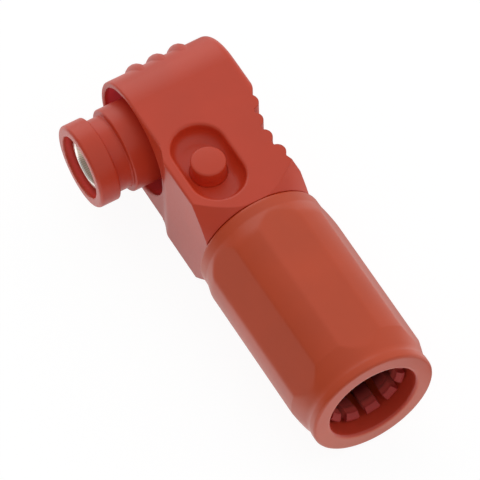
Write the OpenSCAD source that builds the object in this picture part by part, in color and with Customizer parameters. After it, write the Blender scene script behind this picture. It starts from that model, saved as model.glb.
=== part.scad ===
// Right-angle power plug connector with a press-to-release latch and a cable gland.
// The mating plug leaves along -X, the cable along -Y. The origin is the middle of
// the contact's mouth, and +Z is the side of the release button.

/* [Contact] */
// Radius of the mouth that the mating pin enters
pin_bore_r = 4.2; // [4.1:0.05:4.4]
// Outside radius of the contact tube
tube_r = 6; // [5.8:0.1:6.4]
// Radius of the room for the spring crown
crown_room_r = 4.75; // [4.7:0.05:4.9]
// Length of the spring crown
crown_len = 15; // [11:0.5:15.5]
// How far the contact's edge stands in front of the pin bore
contact_reach = 0.45; // [0.3:0.05:0.7]
// Length of the pin bore in the lead-in ring
mouth_ring_t = 1.2; // [0.8:0.1:1.6]
// Number of slats in the spring crown
slats = 14; // [8:1:18]
// Radius of the contact's shoulder
contact_flange_r = 8; // [7.6:0.1:8.6]
// Thickness of the contact's shoulder
contact_flange_t = 2; // [1.4:0.1:2.4]

/* [Nose] */
// Outside radius of the nose
nose_r = 9.4; // [9:0.1:9.8]
// How far the nose stands in front of the contact
nose_reach = 2.1; // [1:0.1:4]
// Width of the rim in front of the groove
nose_rim_w = 4.6; // [3:0.1:5]
// Radius at the bottom of the nose's groove
groove_r = 8.2; // [7.8:0.1:8.6]
// Width of the nose's groove at its bottom
groove_w = 2.2; // [1:0.1:2.8]
// Inside radius of the nose's mouth
nose_mouth_r = 7.15; // [6.9:0.05:7.4]
// Radius of the nose's shoulder
nose_flange_r = 10.7; // [10.2:0.1:10.8]
// Thickness of the nose's shoulder
nose_flange_t = 1.4; // [1:0.1:2]

/* [Head] */
// From the contact's mouth to the cable's axis
cable_x = 21.5; // [21.2:0.1:22]
// Half the height of the head and neck
head_r = 13.7; // [13.5:0.1:14.2]
// From the cable's axis to the front of the head
head_front = 10.8; // [10.4:0.1:11.2]
// From the cable's axis to the back of the head
head_back = 14; // [13.6:0.1:15]
// Rounding of the head's back edge
back_round = 1.8; // [0.8:0.1:2.4]
// Rounding of the head's front edge
front_round = 0.5; // [0.2:0.1:0.7]
// Radius of the recess for the mating plug's collar
recess_r = 12.4; // [12.2:0.1:12.6]
// Depth of that recess
recess_depth = 7.8; // [7.4:0.1:8.2]
// Thickness of the wall behind the recess
web_t = 2; // [1.6:0.1:2.2]
// Radius of the rear chamber
chamber_r = 10.9; // [10.9:0.1:11.1]
// Height of the ribs in the middle of the far end
rib_h = 1.5; // [0.8:0.1:1.8]
// Width of the ribs on the far end
rib_w = 3.5; // [2.5:0.1:4]
// Distance from rib to rib on the far end
rib_pitch = 5.05; // [4.5:0.05:5.6]
// Half the angle over which those ribs fade out
rib_half_angle = 55; // [40:1:60]

/* [Neck] */
// Width of the neck
neck_w = 24.3; // [23.6:0.1:25]
// Rounding of the neck's long edges
neck_round = 0.6; // [0.3:0.1:1]
// From the mating axis to the neck's end
neck_end = 34.1; // [33.5:0.1:35]
// Length of the slanted shoulder at the neck's end
shoulder_len = 6.2; // [4:0.1:7]
// Radius of the shoulder at the neck's end
shoulder_end_r = 13.9; // [13:0.1:14]
// Radius of the hollow of the finger grip
grip_r = 21; // [19:0.2:24]
// Depth of the finger grip, from the neck's back
grip_depth = 2.45; // [1.2:0.05:2.6]
// Height of the ribs in the finger grip
grip_rib_h = 1.2; // [0.6:0.1:1.4]
// Distance from rib to rib in the finger grip
grip_pitch = 4.5; // [4:0.1:5]
// Rounding from the head's back into the grip
grip_blend_r = 10; // [4:0.5:14]

/* [Button] */
// Radius of the release button
button_r = 3.75; // [3.4:0.05:3.9]
// From the mating axis to the button
button_d = 20.5; // [20:0.1:21]
// From the cable's axis forward to the button
button_forward = 3.9; // [3.7:0.1:4.1]
// How far the button stands over the head's top
button_proud = 0.2; // [0:0.1:0.8]
// Travel of the release button
button_travel = 1.5; // [0.8:0.1:1.5]
// Width of the pocket around the button
pocket_w = 13.1; // [12.4:0.1:13.4]
// Length of the pocket around the button
pocket_len = 20.9; // [18:0.1:21.5]
// Depth of the pocket around the button
pocket_depth = 3.7; // [3.5:0.1:4.3]
// Rounding at the bottom of the pocket
pocket_round = 2.4; // [1.6:0.1:3]
// Rounding of the pocket's rim
pocket_lip = 0.7; // [0.2:0.1:0.8]
// Thickness of the latch plate
plate_t = 1.5; // [1:0.1:1.5]
// Radius of the latch plate's hook
hook_r = 11.75; // [11.6:0.05:11.9]
// Wire radius of the button's spring
wire_r = 0.2; // [0.15:0.01:0.24]
// Turns of the button's spring
spring_turns = 5; // [3:1:6]

/* [Lug] */
// Radius of the barrel's bore, for the conductor
barrel_bore_r = 4.3; // [3.6:0.1:4.5]
// Outside radius of the barrel
barrel_r = 5.6; // [5.2:0.1:5.6]
// Length of the barrel
barrel_len = 15.5; // [12:0.5:15.5]
// Thickness of the lug's palm
palm_t = 2.7; // [2:0.1:2.9]
// Half the width of the lug's palm
palm_half = 6; // [5.4:0.1:6]
// Radius of the screw's thread
screw_r = 3; // [2.5:0.1:3.2]
// Radius of the screw's head
screw_head_r = 4.9; // [4.4:0.1:5.4]
// Height of the screw's head
screw_head_t = 3.5; // [2.6:0.1:4]

/* [Gland] */
// Length of the gland's spigot
spigot_len = 18.4; // [16:0.2:20]
// Radius of the spigot's bore around the sealing sleeve
sleeve_room_r = 9.6; // [9.4:0.1:9.9]
// Length of the sealing sleeve
sleeve_len = 12; // [9:0.5:14]
// Radius of the cable that the sleeve seals
cable_r = 7.5; // [6.5:0.1:7.6]
// Radius of the nut over its ridges
nut_r = 14.95; // [14.8:0.05:15.4]
// Distance from flat to flat of the nut
nut_flats = 28.6; // [28.3:0.1:29]
// How far the flats are turned from the button's side
flat_turn = 25.5; // [0:0.5:30]
// Radius of the nut's front collar
nut_collar_r = 13.95; // [13.9:0.05:14.2]
// Length of the nut
nut_len = 46.9; // [44:0.1:50]
// Radius of the nut's opening for the cable
opening_r = 10.05; // [9.9:0.05:10.6]
// Number of fingers of the claw
fingers = 11; // [7:1:13]
// Inside radius at the fingers' tips
finger_tip_r = 7.8; // [7.7:0.1:8.1]
// Thickness of the fingers
finger_t = 1.6; // [1.2:0.1:1.8]
// From the nut's rear face to the fingers' tips
tip_depth = 3.5; // [2.5:0.1:6]

/* [Hidden] */
$fn = 96;

// Clearance of a piece that is pressed or seated
seat_gap = 0.05;
// Clearance of a piece that slides in by hand
slide_gap = 0.1;
// Clearance of a piece that moves
move_gap = 0.3;
// Overlap of cuts past the face that they open
cut = 1;
// How far the ends of slots lie from the band or ring that their fingers stand on
root_cut = 0.35;

red = "#b4503c";
dark_red = "#a04634";
silver = "#c9c6bd";
steel = "#9c9a96";
copper = "#b87a4b";
rubber = "#8c3a2c";

// Places along X, from the contact's mouth
mouth_x = cable_x - head_front;
web_x = mouth_x + recess_depth;
chamber_x = web_x + web_t;
back_x = cable_x + head_back;
nose_back_x = chamber_x + nose_flange_t;
contact_back_x = nose_back_x + 2.3;
palm_x = contact_back_x;
palm_back_x = palm_x + palm_t;
washer_t = 1.4;
screw_head_x = palm_back_x + washer_t;
cap_t = 1.9;
cap_recess = 0.4;
cap_x = back_x - cap_recess - cap_t;
cap_r = chamber_r + 0.7;

// Retaining ring and its groove
ring_t = 1.2;
ring_r = chamber_r + 0.4;
ring_hole_r = contact_flange_r - 0.7;

// O-ring of the rear cap
cap_seal_wire = 0.48;
cap_seal_r = chamber_r - cap_seal_wire - 0.02;
cap_spigot_len = 2.8;
cap_spigot_wall = 1.9;
cap_seal_x = cap_x - 1.4;

// Latch plate, seen along X, in a slot between the recess's front and its seal
seal_t = 1.4;
plate_x = web_x - seal_t - move_gap - plate_t;
hook_lift = button_travel + 0.1;
hook_w = 3.75;
hook_end_y = -4;
hook_low = -12;
bridge_low = 6.4;
bridge_high = 8.3;
stem_half = 1.5;
plate_gap = 0.25;

// Release button and its spring
button_x = cable_x - button_forward;
button_top = head_r + button_proud;
pocket_floor = head_r - pocket_depth;
button_low = 8.6;
button_round = 0.4;
stem_top = 11.5;
well_floor = button_low - button_travel - slide_gap;
well_gap = 0.25;
spring_r = 1.15;
spring_x = button_x + 1.3;
spring_room_r = spring_r + wire_r + 0.25;
spring_top = 12;

// Wall of the nut's collar around its seal
collar_wall = 1.05;

// Distances from the mating axis along the cable
barrel_d = 17;
bore_d = barrel_d - move_gap;
bore_r = barrel_r + move_gap;
wedge_d = 13.5;
wedge_x = cable_x - 0.1;
palm_gap = 0.4;
sleeve_d = neck_end + spigot_len - sleeve_len;
spigot_end = neck_end + spigot_len;
throat_r = 8.4;
washer_ring_t = 1.2;
claw_d = spigot_end + washer_ring_t;
claw_ring_t = 4;
nut_d = neck_end + move_gap;
nut_end = nut_d + nut_len;
tip_d = nut_end - tip_depth;
finger_turn = 282.5;
nut_seal_r = nut_collar_r - collar_wall;
nut_bore_r = nut_seal_r - 0.7;
spigot_r = nut_bore_r - move_gap;
nut_seal_t = 3;
nut_seal_room = nut_seal_t + 0.7;

// The S-shaped step from the head's front to the neck's front
step_d = 12;
step_len = 5.2;
head_len = 18.7;

// Finger grip in the neck's back
grip_d = 20.8;
grip_x = cable_x + neck_w / 2 - grip_depth + grip_r;
grip_rib_r = 1.9;
grip_ribs = 4;
grip_rib_turn = -5.5;
crossing = 0.12;

// Points of an arc about c, from angle a0 to angle a1
function arc(c, r, a0, a1, n = 6) =
    [for (i = [0:n]) c + r * [cos(a0 + (a1 - a0) * i / n), sin(a0 + (a1 - a0) * i / n)]];

// Puts a shape that stands on its z axis on the mating axis
module on_mating_axis(x = 0) translate([x, 0, 0]) rotate([0, 90, 0]) children();

// Puts a shape that stands on its z axis on the cable's axis, d away from the mating axis
module on_cable_axis(d = 0) translate([cable_x, -d, 0]) rotate([90, 0, 0]) children();

module ring(r_out, r_in, h) {
    difference() {
        cylinder(r = r_out, h = h);
        translate([0, 0, -cut]) cylinder(r = r_in, h = h + 2 * cut);
    }
}

// Rectangle from x0 to x1 and from -h to h, with corners of radius r0 in front and r1 behind
module soft_rect(x0, x1, h, r0, r1) {
    translate([x0, -h + r0]) square([x1 - r1 - x0, 2 * (h - r0)]);
    translate([x0 + r0, -h + r1]) square([x1 - x0 - r0, 2 * (h - r1)]);
    translate([x0 + r0, -h]) square([x1 - r1 - x0 - r0, 2 * h]);
    for (s = [-1, 1]) {
        translate([x0 + r0, s * (h - r0)]) circle(r = r0);
        translate([x1 - r1, s * (h - r1)]) circle(r = r1);
    }
}

module head_section() soft_rect(mouth_x, back_x, head_r, front_round, back_round);

// Round end of the head and its straight side toward the cable
module head_block() {
    on_mating_axis() rotate_extrude() intersection() {
        rotate(90) head_section();
        square([2 * head_r, 2 * back_x]);
    }
    rotate([90, 0, 0]) linear_extrude(height = head_len) head_section();
}

// Plan of the space in front of the S-shaped step
module step_relief() {
    x_neck = cable_x - neck_w / 2;
    linear_extrude(height = 2 * head_r + 2 * cut, center = true) polygon(concat(
        [[x_neck - cut, -step_d - step_len], [x_neck - cut, cut], [mouth_x, cut]],
        [for (t = [0:1/10:1]) [
            mouth_x + (x_neck - mouth_x) * (1 - cos(180 * t)) / 2,
            -step_d - step_len * t
        ]]
    ));
}

// Neck, whose corners a cone trims at the end down to the nut's round collar
module neck_block() {
    corner_r = norm([neck_w / 2, head_r]);
    shoulder_d = neck_end - shoulder_len;
    shoulder_slope = shoulder_len / (corner_r - shoulder_end_r);
    difference() {
        intersection() {
            on_cable_axis(step_d) linear_extrude(height = neck_end - step_d)
                soft_rect(-neck_w / 2, neck_w / 2, head_r, neck_round, neck_round);
            on_cable_axis() rotate_extrude() polygon([
                [0, 0], [corner_r + cut, 0], [corner_r + cut, shoulder_d - cut * shoulder_slope],
                [shoulder_end_r, neck_end], [0, neck_end]
            ]);
        }
        step_relief();
    }
}

// Ribs across the far end. Each is a rounded bulge swept about an axis that lies off the
// mating axis toward the far end, so that it fades into the head on both sides
module far_ribs() {
    rib_forward = 1.7;
    bulge_r = (pow(rib_w / 2, 2) + pow(rib_h, 2)) / (2 * rib_h);
    half_angle = asin(rib_w / 2 / bulge_r);
    off = (pow(rib_h, 2) + 2 * head_r * rib_h) / (2 * (head_r + rib_h - head_r * cos(rib_half_angle)));
    crest_r = head_r + rib_h - off;
    bulge = arc([crest_r - bulge_r, 0], bulge_r, -half_angle, half_angle, 8);
    root = crest_r - rib_h - 0.8;
    for (i = [-1:1]) translate([0, off, 0]) on_mating_axis(cable_x + rib_forward + i * rib_pitch)
        rotate_extrude() polygon(concat([[root, rib_w / 2], [root, -rib_w / 2]], bulge));
}

module grip_hollow() {
    translate([grip_x, -grip_d, -head_r - cut]) cylinder(r = grip_r, h = 2 * (head_r + cut), $fn = 180);
}

// What the rounding from the head's back into the grip takes away. Its cylinder crosses the
// two faces that it joins by a hair, because exact solids dislike faces that only touch
module grip_blend() {
    blend_x = back_x - grip_blend_r + crossing;
    joined_r = grip_r + grip_blend_r;
    span = sqrt(pow(joined_r - crossing, 2) - pow(grip_x - blend_x, 2));
    low = span * grip_r / joined_r;
    h = 2 * (head_r + cut);
    difference() {
        translate([blend_x + grip_blend_r / 2, low - grip_d, -h / 2]) cube([grip_blend_r, span - low, h]);
        translate([blend_x, span - grip_d, -h / 2 - cut]) cylinder(r = grip_blend_r, h = h + 2 * cut, $fn = 180);
    }
}

module grip_rib_set() {
    step = grip_pitch / grip_r * 180 / PI;
    reach = grip_r - grip_rib_h + grip_rib_r;
    h = 2 * (head_r + 2 * cut);
    for (i = [0:grip_ribs - 1]) translate([grip_x, -grip_d, -h / 2])
        rotate(180 + grip_rib_turn + (i - (grip_ribs - 1) / 2) * step) translate([reach, 0, 0])
            cylinder(r = grip_rib_r, h = h);
}

// Everything that the finger grip takes away. It leaves the ribs standing
module grip_cut() {
    difference() {
        union() {
            grip_hollow();
            grip_blend();
        }
        grip_rib_set();
    }
}

// Half of the pocket's cross-section, from its middle line outward
module pocket_section() {
    wall_r = pocket_w / 2 - pocket_lip;
    polygon(concat(
        [[0, pocket_floor], [wall_r - pocket_round, pocket_floor]],
        arc([wall_r - pocket_round, pocket_floor + pocket_round], pocket_round, -90, 0, 8),
        arc([wall_r + pocket_lip, head_r - pocket_lip], pocket_lip, 180, 90, 4),
        [[wall_r + pocket_lip, head_r + cut], [0, head_r + cut]]
    ));
}

module pocket() {
    half = (pocket_len - pocket_w) / 2;
    translate([button_x, -button_d, 0]) {
        for (s = [-1, 1]) translate([0, s * half, 0]) rotate_extrude() pocket_section();
        rotate([90, 0, 0]) linear_extrude(height = 2 * half, center = true) {
            pocket_section();
            mirror([1, 0]) pocket_section();
        }
    }
}

module recess() {
    rim = 0.4;
    on_mating_axis() rotate_extrude() polygon(concat(
        [[0, mouth_x - cut], [recess_r + rim, mouth_x - cut]],
        arc([recess_r + rim, mouth_x + rim], rim, 270, 180, 4),
        [[recess_r, web_x], [0, web_x]]
    ));
}

module rear_chamber() {
    on_mating_axis(web_x - cut) cylinder(r = nose_r + slide_gap, h = web_t + 2 * cut);
    on_mating_axis(chamber_x) cylinder(r = chamber_r, h = back_x - chamber_x + cut);
    on_mating_axis(cap_x) cylinder(r = cap_r + slide_gap, h = back_x - cap_x + cut);
    on_mating_axis(nose_back_x) cylinder(r = ring_r + seat_gap, h = ring_t + seat_gap);
}

// Way through the neck for the lug: its barrel, its slanted part and its palm
module lug_way() {
    half = palm_half + move_gap;
    way_d = chamber_r / 2;
    throat_root = 0.6;
    on_cable_axis(bore_d) cylinder(r = bore_r, h = neck_end - bore_d + cut);
    translate([palm_x - palm_gap, -neck_end, -half])
        cube([palm_t + 2 * palm_gap, neck_end - way_d, 2 * half]);
    translate([wedge_x - palm_gap, -barrel_d, -bore_r])
        cube([palm_back_x + palm_gap - wedge_x + palm_gap, barrel_d - chamber_r + 2 * cut, 2 * bore_r]);
    on_cable_axis(neck_end - throat_root) cylinder(r = throat_r, h = spigot_len + throat_root + cut);
    on_cable_axis(sleeve_d) cylinder(r = sleeve_room_r, h = sleeve_len + cut);
}

// Outline of the latch plate in Y and Z: a hook around the recess, a bridge and a stem
module latch_outline(gap = 0) {
    stem_y = -button_d - stem_half;
    intersection() {
        translate([0, hook_lift]) difference() {
            circle(r = hook_r + hook_w + gap);
            circle(r = hook_r - gap);
        }
        translate([-2 * head_r, hook_low - gap])
            square([2 * head_r + hook_end_y + gap, bridge_high - hook_low + 2 * gap]);
    }
    translate([stem_y - gap, bridge_low - gap])
        square([button_d + stem_half - hook_r - 1 + gap, bridge_high - bridge_low + 2 * gap]);
    translate([stem_y - gap, bridge_low]) square([2 * (stem_half + gap), stem_top - bridge_low]);
}

module latch_slot() {
    translate([plate_x - plate_gap, 0, 0]) rotate([90, 0, 90])
        linear_extrude(height = plate_t + 2 * plate_gap) {
            latch_outline(plate_gap);
            translate([0, -button_travel - slide_gap]) latch_outline(plate_gap);
        }
}

module housing() color(red) {
    difference() {
        union() {
            difference() {
                union() {
                    head_block();
                    neck_block();
                }
                grip_cut();
            }
            far_ribs();
            on_cable_axis(neck_end - cut) rotate_extrude() polygon([
                [0, 0], [spigot_r, 0], [spigot_r, spigot_len + cut - 0.8],
                [spigot_r - 0.8, spigot_len + cut], [0, spigot_len + cut]
            ]);
        }
        recess();
        rear_chamber();
        lug_way();
        pocket();
        translate([button_x, -button_d, well_floor])
            cylinder(r = button_r + well_gap, h = head_r - well_floor);
        latch_slot();
    }
}

// Cap whose edge follows the finger grip, so that the grip runs on across it
module rear_cap() color(red) {
    groove_r_in = cap_seal_r - cap_seal_wire;
    groove_half = 0.6;
    edge = 0.4;
    lead = 0.3;
    r_spigot = chamber_r - slide_gap;
    low = cap_x - cap_spigot_len;
    difference() {
        on_mating_axis() rotate_extrude() polygon([
            [0, cap_x], [r_spigot - cap_spigot_wall, cap_x], [r_spigot - cap_spigot_wall, low],
            [r_spigot - lead, low], [r_spigot, low + lead],
            [r_spigot, cap_seal_x - groove_half], [groove_r_in, cap_seal_x - groove_half],
            [groove_r_in, cap_seal_x + groove_half], [r_spigot, cap_seal_x + groove_half],
            [r_spigot, cap_x], [cap_r, cap_x], [cap_r, cap_x + cap_t - edge],
            [cap_r - edge, cap_x + cap_t], [0, cap_x + cap_t]
        ]);
        grip_cut();
    }
}

module cap_seal() color(rubber) {
    on_mating_axis(cap_seal_x) rotate_extrude() translate([cap_seal_r, 0]) circle(r = cap_seal_wire, $fn = 32);
}

module nose_insulator() color(red) {
    rim = 0.7;
    lip = 0.3;
    front = -nose_reach;
    groove_x = front + nose_rim_w + (nose_r - groove_r) * 1.3;
    ring_x = groove_x + groove_w;
    foot = 0.2;
    ring_edge = 0.3;
    bore_step = 5;
    on_mating_axis() rotate_extrude() polygon(concat(
        arc([nose_mouth_r + lip, front + lip], lip, 180, 270, 3),
        arc([nose_r - rim, front + rim], rim, 270, 360, 6),
        [[nose_r, front + nose_rim_w], [groove_r + foot, groove_x], [groove_r, groove_x], [groove_r, ring_x]],
        arc([nose_r - ring_edge, ring_x + ring_edge], ring_edge, -90, 0, 3),
        [[nose_r, chamber_x], [nose_flange_r, chamber_x], [nose_flange_r, nose_back_x]],
        [[contact_flange_r + slide_gap, nose_back_x], [contact_flange_r + slide_gap, nose_back_x - contact_flange_t]],
        [[tube_r + seat_gap, nose_back_x - contact_flange_t], [tube_r + seat_gap, bore_step + 0.6]],
        [[nose_mouth_r, bore_step]]
    ));
}

module interface_seal() color(rubber) {
    lip_r = 0.4;
    inner = nose_r + slide_gap;
    outer = recess_r - slide_gap;
    on_mating_axis() rotate_extrude() {
        translate([inner, web_x - seal_t + lip_r]) square([outer - inner, seal_t - lip_r]);
        for (r = [inner + 2 * lip_r, outer - 2 * lip_r])
            translate([r, web_x - seal_t + lip_r]) circle(r = lip_r, $fn = 24);
    }
}

module contact_socket() color(silver) {
    seat_r = crown_room_r + 0.45;
    crown_end = mouth_ring_t + crown_len + 0.2;
    boss_r = contact_flange_r - 2;
    edge = 0.3;
    front = -contact_reach;
    on_mating_axis() rotate_extrude() polygon([
        [seat_r, front], [tube_r - edge, front], [tube_r, front + edge],
        [tube_r, nose_back_x - contact_flange_t], [contact_flange_r, nose_back_x - contact_flange_t],
        [contact_flange_r, nose_back_x], [boss_r, nose_back_x], [boss_r, contact_back_x],
        [screw_r + seat_gap, contact_back_x], [screw_r + seat_gap, crown_end + 1.5],
        [0, crown_end + 0.8], [0, crown_end], [crown_room_r, crown_end],
        [crown_room_r, mouth_ring_t], [seat_r, mouth_ring_t]
    ]);
}

// Cuts n slots of the given width into a shell about the z axis, from z0 to z1
module slots(n, width, z0, z1, turn = 0) {
    for (i = [0:n - 1]) rotate(turn + i * 360 / n) translate([0, -width / 2, z0])
        cube([nut_r, width, z1 - z0]);
}

// Spring crown: a band at each end and slats between them that bow in to grip the pin
module contact_crown() color(copper) {
    strip = 0.2;
    band = 1.4;
    slat_share = 0.62;
    outer = crown_room_r - seat_gap;
    waist = pin_bore_r - 0.1;
    bow = outer - strip - waist;
    // Inside radii of a slat, from band to band
    bowed = [for (t = [0:1/4:1]) [waist + bow * pow(2 * t - 1, 2), band + (crown_len - 2 * band) * t]];
    slot = (1 - slat_share) * 2 * PI * waist / slats;
    on_mating_axis(mouth_ring_t + seat_gap) difference() {
        rotate_extrude() polygon(concat(
            [[outer - strip, 0]], bowed, [[outer - strip, crown_len], [outer, crown_len]],
            [for (i = [len(bowed) - 1:-1:0]) bowed[i] + [strip, 0]],
            [[outer, 0]]
        ));
        slots(slats, slot, band + root_cut, crown_len - band - root_cut, 180 / slats);
    }
}

// Ring that holds the crown in: a funnel leads the pin into its bore
module crown_ring() color(silver) {
    outer = crown_room_r + 0.45 - seat_gap;
    edge = 0.1;
    on_mating_axis() rotate_extrude() polygon([
        [pin_bore_r, 0], [outer - edge, -contact_reach], [outer, -contact_reach],
        [outer, mouth_ring_t], [pin_bore_r, mouth_ring_t]
    ]);
}

module cable_lug() color(silver) {
    difference() {
        union() {
            on_cable_axis(barrel_d) cylinder(r = barrel_r, h = barrel_len);
            on_mating_axis(palm_x) cylinder(r = palm_half, h = palm_t);
            translate([palm_x, -wedge_d - 1.2, -palm_half]) cube([palm_t, wedge_d + 1.2, 2 * palm_half]);
            intersection() {
                linear_extrude(height = 2 * palm_half, center = true) polygon([
                    [wedge_x, -barrel_d - cut], [palm_x, -wedge_d], [palm_back_x, -wedge_d],
                    [palm_back_x, -barrel_d - cut]
                ]);
                on_cable_axis(wedge_d - cut) cylinder(r = barrel_r, h = barrel_d);
            }
        }
        on_cable_axis(barrel_d + 1.5) cylinder(r = barrel_bore_r, h = barrel_len);
        on_mating_axis(palm_x - cut) cylinder(r = screw_r + move_gap, h = palm_t + 2 * cut);
        translate([cable_x, -barrel_d - 3, 0]) cylinder(r = 1, h = barrel_r + cut);
    }
}

module lock_washer() color(steel) {
    split = 0.8;
    difference() {
        on_mating_axis(palm_back_x) ring(screw_head_r, screw_r + move_gap, washer_t);
        translate([palm_back_x - cut, 0, -split / 2]) cube([washer_t + 2 * cut, 2 * screw_head_r, split]);
    }
}

module lug_screw() color(steel) {
    tip_x = mouth_ring_t + crown_len + 2;
    hex_r = 2.9;
    on_mating_axis() difference() {
        rotate_extrude() polygon([
            [0, tip_x], [screw_r - 0.4, tip_x], [screw_r, tip_x + 0.4], [screw_r, screw_head_x],
            [screw_head_r, screw_head_x], [screw_head_r, screw_head_x + screw_head_t - 0.5],
            [screw_head_r - 0.5, screw_head_x + screw_head_t], [0, screw_head_x + screw_head_t]
        ]);
        translate([0, 0, screw_head_x + screw_head_t / 2]) cylinder(r = hex_r, h = screw_head_t, $fn = 6);
    }
}

module retaining_ring() color(steel) {
    mouth = 34;
    ear_hole_r = 0.7;
    r_hole = (ring_r + ring_hole_r) / 2;
    on_mating_axis(nose_back_x) difference() {
        rotate(mouth / 2) rotate_extrude(angle = 360 - mouth)
            translate([ring_hole_r, 0]) square([ring_r - ring_hole_r, ring_t]);
        for (s = [-1, 1]) rotate(s * (mouth / 2 + 8)) translate([r_hole, 0, -cut])
            cylinder(r = ear_hole_r, h = ring_t + 2 * cut, $fn = 24);
    }
}

module release_button() color(red) {
    difference() {
        translate([button_x, -button_d, 0]) rotate_extrude() polygon(concat(
            [[0, button_low], [button_r, button_low]],
            arc([button_r - button_round, button_top - button_round], button_round, 0, 90, 4),
            [[0, button_top]]
        ));
        translate([plate_x, -button_d - stem_half, button_low - cut])
            cube([plate_t, 2 * stem_half, stem_top - button_low + cut]);
        translate([spring_x, -button_d, button_low - cut])
            cylinder(r = spring_room_r, h = spring_top - button_low + cut);
    }
}

// Coil of round wire, swept by one closed mesh along a helix
module button_spring() color(steel) {
    sides = 6;
    per_turn = 14;
    low = well_floor + wire_r;
    high = spring_top - wire_r;
    n = spring_turns * per_turn;
    points = [for (i = [0:n], k = [0:sides - 1])
        let (a = 360 * i / per_turn, b = 360 * k / sides, r = spring_r + wire_r * cos(b))
        [r * cos(a), r * sin(a), low + (high - low) * i / n + wire_r * sin(b)]];
    faces = concat(
        [[for (k = [0:sides - 1]) k]],
        [for (i = [0:n - 1], k = [0:sides - 1]) let (m = (k + 1) % sides)
            [i * sides + k, (i + 1) * sides + k, (i + 1) * sides + m, i * sides + m]],
        [[for (k = [sides - 1:-1:0]) n * sides + k]]
    );
    translate([spring_x, -button_d, 0]) polyhedron(points = points, faces = faces, convexity = 6);
}

module latch_plate() color(steel) {
    translate([plate_x, 0, 0]) rotate([90, 0, 90]) linear_extrude(height = plate_t) latch_outline();
}

module nut_seal() color(rubber) {
    on_cable_axis(nut_d + move_gap) ring(nut_seal_r - 0.08, spigot_r + 0.08, nut_seal_t);
}

// Sealing sleeve with ridges inside
module cable_seal() color(rubber) {
    outer = sleeve_room_r - slide_gap;
    inner = cable_r + slide_gap;
    groove = 0.6;
    on_cable_axis(sleeve_d) difference() {
        ring(outer, inner, sleeve_len);
        for (i = [1:3]) translate([0, 0, sleeve_len * i / 4]) rotate_extrude()
            translate([inner, 0]) circle(r = groove, $fn = 24);
    }
}

module seal_washer() color(steel) {
    on_cable_axis(spigot_end) ring(nut_bore_r - 0.6, cable_r + 0.4, washer_ring_t);
}

// Claw with fingers that the nut's cone presses on the cable
module clamp_claw() color(dark_red) {
    ring_out = nut_bore_r - 0.6;
    root_out = ring_out - 0.4;
    root_d = claw_d + claw_ring_t;
    tip_out = finger_tip_r + finger_t;
    root_in = root_out - finger_t;
    finger_share = 0.64;
    slot = (1 - finger_share) * 2 * PI * (finger_tip_r + finger_t / 2) / fingers;
    nib = 0.4;
    on_cable_axis() difference() {
        rotate_extrude() polygon([
            [root_in, claw_d], [root_in, root_d], [finger_tip_r + 0.3, tip_d - 3],
            [finger_tip_r, tip_d - 2.4], [finger_tip_r, tip_d - nib], [finger_tip_r + nib, tip_d],
            [tip_out - nib, tip_d], [tip_out, tip_d - nib], [root_out, root_d],
            [ring_out, root_d], [ring_out, claw_d]
        ]);
        slots(fingers, slot, root_d - root_cut, tip_d + cut, finger_turn + 180 / fingers);
    }
}

// Outline of the nut turned about the cable's axis: its outside from the front face to the
// rear face, then its inside back to the front
module nut_section() {
    edge = 0.5;
    rear_edge = 0.6;
    inner_edge = 0.8;
    blend_d = nut_d + 3.1;
    blend_len = 4.5;
    cone_d = nut_end - 7.5;
    waist_d = nut_end - 2.9;
    waist_r = nut_r - 1.15;
    bead_r = nut_r - 0.95;
    cone_in_d = claw_d + claw_ring_t + 3;
    polygon(concat(
        arc([nut_collar_r - edge, nut_d + edge], edge, 270, 360, 4),
        [for (t = [0:1/9:1]) [
            nut_collar_r + (nut_r - nut_collar_r) * sin(90 * t), blend_d + blend_len * t
        ]],
        [[nut_r, cone_d], [waist_r, waist_d]],
        arc([bead_r - 0.3, waist_d + 1], 0.3, -40, 0, 2),
        arc([bead_r - rear_edge, nut_end - rear_edge], rear_edge, 0, 90, 5),
        arc([opening_r + inner_edge, nut_end - inner_edge], inner_edge, 90, 180, 6),
        [[opening_r, nut_end - 4], [nut_bore_r, cone_in_d], [nut_bore_r, nut_d + nut_seal_room]],
        [[nut_seal_r, nut_d + nut_seal_room], [nut_seal_r, nut_d]]
    ));
}

module gland_nut() color(red) {
    apothem = nut_flats / 2;
    on_cable_axis() difference() {
        rotate_extrude() nut_section();
        for (i = [0:5]) rotate(flat_turn + 60 * i) translate([apothem, -nut_r, nut_d - cut])
            cube([nut_r, 2 * nut_r, nut_len + 2 * cut]);
    }
}

housing();
rear_cap();
cap_seal();
nose_insulator();
interface_seal();
contact_socket();
contact_crown();
crown_ring();
cable_lug();
lug_screw();
lock_washer();
retaining_ring();
release_button();
button_spring();
latch_plate();
nut_seal();
cable_seal();
seal_washer();
clamp_claw();
gland_nut();
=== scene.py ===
# %% [markdown]
# A right-angle power plug connector, dressed on the packed CAD model
#
# The CAD model already holds every piece at its real size. This script leaves those pieces
# where they are and gives each one the finish of the real material. It makes again only the
# six pieces that need softer or finer forms than their solids have. First it loads the frame.
# Lengths in the lists below are in mm, and MM turns them into Blender's metres.

# %% Load the frame
import math

import bmesh
import bpy
from mathutils import Matrix, Vector


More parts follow.
